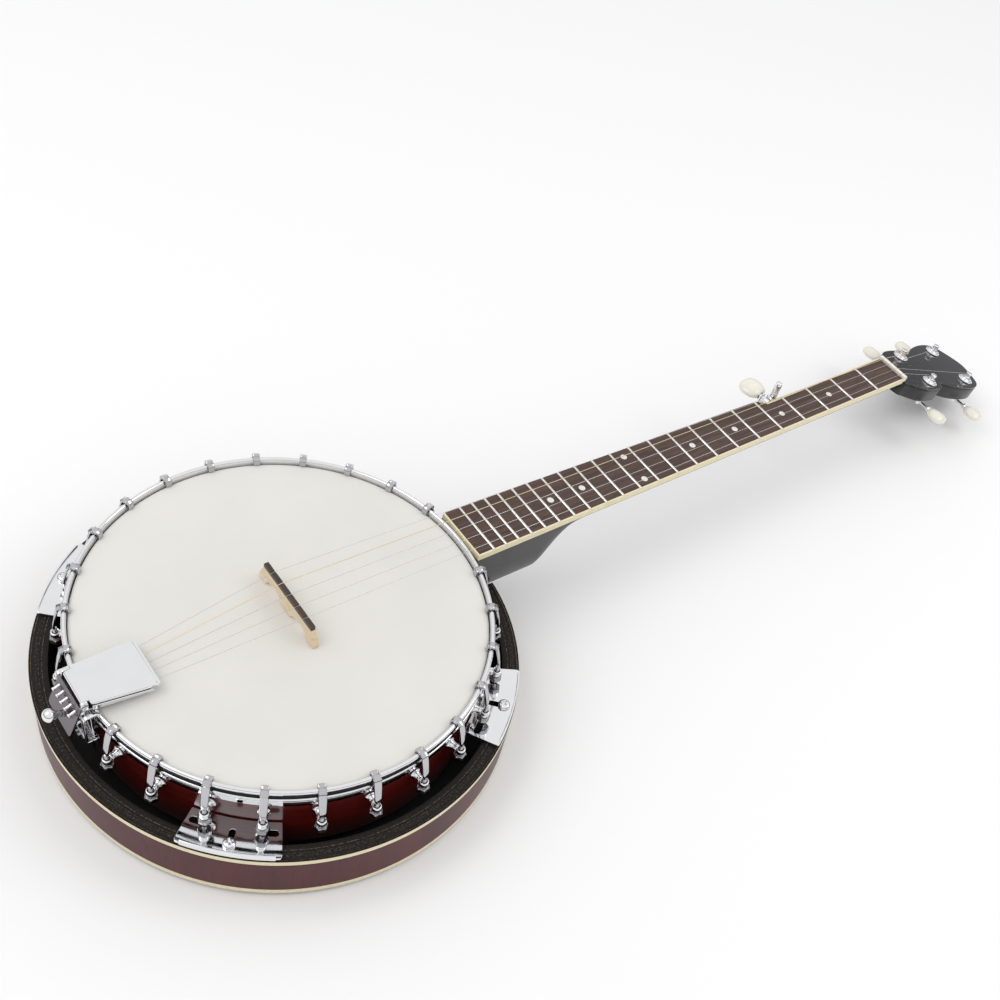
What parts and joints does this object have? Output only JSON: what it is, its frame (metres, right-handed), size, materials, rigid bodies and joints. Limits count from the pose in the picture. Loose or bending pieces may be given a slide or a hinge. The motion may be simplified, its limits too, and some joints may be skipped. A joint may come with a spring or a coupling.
{
  "type": "five-string resonator banjo",
  "caption": "Resonator banjo with a round drum head in a chrome hoop, a long fretted neck, geared tuners with pearl buttons and a shorter drone string tuned from the neck's side.",
  "frame": {"origin": "centre of the flat middle of the resonator's back, on which the banjo rests", "axes": "+X along the neck towards the headstock, +Y the bass side with the fifth string's tuner, +Z out of the drum head"},
  "size_m": [0.944, 0.3346, 0.102],
  "materials": {
    "chrome_hardware": "bright chrome plate",
    "tone_ring_metal": "plain plated ring",
    "inner_steel": "plain zinc-plated steel",
    "fret_nickel": "polished nickel silver",
    "plain_string": "bare drawn steel wire",
    "wound_string": "bronze-wound steel wire",
    "rim_mahogany": "dark red gloss lacquer",
    "resonator_mahogany": "maroon gloss lacquer over flame-figured veneer",
    "cream_binding": "cream celluloid",
    "neck_lacquer": "black satin lacquer",
    "headstock_lacquer": "black gloss lacquer",
    "fingerboard_rosewood": "oiled rosewood",
    "head_film": "frosted white coated film",
    "bridge_maple": "bare maple",
    "bridge_ebony": "bare ebony",
    "nut_bone": "polished bone",
    "pearl_button": "cream pearloid"
  },
  "bodies": {
    "banjo": {"resonator_back": "resonator_mahogany", "resonator_wall": "resonator_mahogany", "binding_lower": "cream_binding", "binding_upper": "cream_binding", "fingerboard_binding": "cream_binding", "rim": "rim_mahogany", "tone_ring": "tone_ring_metal", "head": "head_film", "tension_hoop": "chrome_hardware", "bracket_hooks": "chrome_hardware", "bracket_shoes": "chrome_hardware", "flange_plate_1": "chrome_hardware", "flange_plate_2": "chrome_hardware", "flange_plate_3": "chrome_hardware", "flange_plate_4": "chrome_hardware", "plate_screw_1": "chrome_hardware", "plate_screw_2": "chrome_hardware", "plate_screw_3": "chrome_hardware", "plate_screw_4": "chrome_hardware", "tailpiece_hanger": "chrome_hardware", "tailpiece_body": "chrome_hardware", "tuner_housing_1": "chrome_hardware", "tuner_housing_2": "chrome_hardware", "tuner_housing_3": "chrome_hardware", "tuner_housing_4": "chrome_hardware", "tuner_bushing_1": "chrome_hardware", "tuner_bushing_2": "chrome_hardware", "tuner_bushing_3": "chrome_hardware", "tuner_bushing_4": "chrome_hardware", "fifth_tuner_housing": "chrome_hardware", "fingerboard": "fingerboard_rosewood", "frets": "fret_nickel", "nut": "nut_bone", "fifth_string_pip": "nut_bone", "neck": "neck_lacquer", "headstock_veneer": "headstock_lacquer", "truss_rod": "inner_steel", "neck_bolt": "inner_steel", "coordinator_rod": "inner_steel", "hanger_bolt": "inner_steel", "tailpiece_pin": "inner_steel", "bridge_body": "bridge_maple", "bridge_cap": "bridge_ebony", "string_1": "plain_string", "string_2": "plain_string", "string_3": "plain_string", "string_5": "plain_string", "string_4": "wound_string"},
    "tailpiece_lid": {"tailpiece_cover": "chrome_hardware"},
    "tailpiece_adjuster": {"tailpiece_screw": "chrome_hardware"},
    "fifth_post": {"fifth_tuner_post": "chrome_hardware"},
    "fifth_button": {"fifth_tuner_button": "pearl_button"},
    "post_1": {"tuner_post_1": "chrome_hardware"},
    "button_1": {"tuner_button_1": "pearl_button"},
    "post_2": {"tuner_post_2": "chrome_hardware"},
    "button_2": {"tuner_button_2": "pearl_button"},
    "post_3": {"tuner_post_3": "chrome_hardware"},
    "button_3": {"tuner_button_3": "pearl_button"},
    "post_4": {"tuner_post_4": "chrome_hardware"},
    "button_4": {"tuner_button_4": "pearl_button"}
  },
  "joints": [
    {"name": "post_1_turn", "type": "hinge", "parent": "banjo", "child": "post_1", "pos_m": [0.68185, -0.0195, 0.0506], "axis": [0.2728, 0, 0.9621], "continuous": true},
    {"name": "button_1_turn", "type": "hinge", "parent": "banjo", "child": "button_1", "pos_m": [0.67243, -0.03435, 0.04048], "axis": [0, 1, 0], "continuous": true},
    {"name": "post_2_turn", "type": "hinge", "parent": "banjo", "child": "post_2", "pos_m": [0.68185, 0.0195, 0.0506], "axis": [0.2728, 0, 0.9621], "continuous": true},
    {"name": "button_2_turn", "type": "hinge", "parent": "banjo", "child": "button_2", "pos_m": [0.68456, 0.03435, 0.03705], "axis": [0, 1, 0], "continuous": true},
    {"name": "post_3_turn", "type": "hinge", "parent": "banjo", "child": "post_3", "pos_m": [0.74679, -0.0225, 0.03219], "axis": [0.2728, 0, 0.9621], "continuous": true},
    {"name": "button_3_turn", "type": "hinge", "parent": "banjo", "child": "button_3", "pos_m": [0.73737, -0.03785, 0.02207], "axis": [0, 1, 0], "continuous": true},
    {"name": "post_4_turn", "type": "hinge", "parent": "banjo", "child": "post_4", "pos_m": [0.74679, 0.0225, 0.03219], "axis": [0.2728, 0, 0.9621], "continuous": true},
    {"name": "button_4_turn", "type": "hinge", "parent": "banjo", "child": "button_4", "pos_m": [0.7495, 0.03785, 0.01863], "axis": [0, 1, 0], "continuous": true},
    {"name": "fifth_post_turn", "type": "hinge", "parent": "banjo", "child": "fifth_post", "pos_m": [0.4978, 0.02, 0.07841], "axis": [0.0346, 0, 0.9994], "continuous": true},
    {"name": "fifth_button_turn", "type": "hinge", "parent": "banjo", "child": "fifth_button", "pos_m": [0.48949, 0.03018, 0.0723], "axis": [0, 1, 0], "continuous": true},
    {"name": "tailpiece_lid_hinge", "type": "hinge", "parent": "banjo", "child": "tailpiece_lid", "pos_m": [-0.1462, 0, 0.0964], "axis": [0, -1, 0], "range_deg": [0, 100]},
    {"name": "tailpiece_adjuster_turn", "type": "hinge", "parent": "banjo", "child": "tailpiece_adjuster", "pos_m": [-0.16385, 0, 0.07872], "axis": [-0.9272, 0, 0.3746], "continuous": true}
  ],
  "couplings": [
    {"joint": "button_1_turn", "follows": "post_1_turn", "ratio": 14},
    {"joint": "button_2_turn", "follows": "post_2_turn", "ratio": 14},
    {"joint": "button_3_turn", "follows": "post_3_turn", "ratio": 14},
    {"joint": "button_4_turn", "follows": "post_4_turn", "ratio": 14},
    {"joint": "fifth_button_turn", "follows": "fifth_post_turn", "ratio": 8}
  ]
}
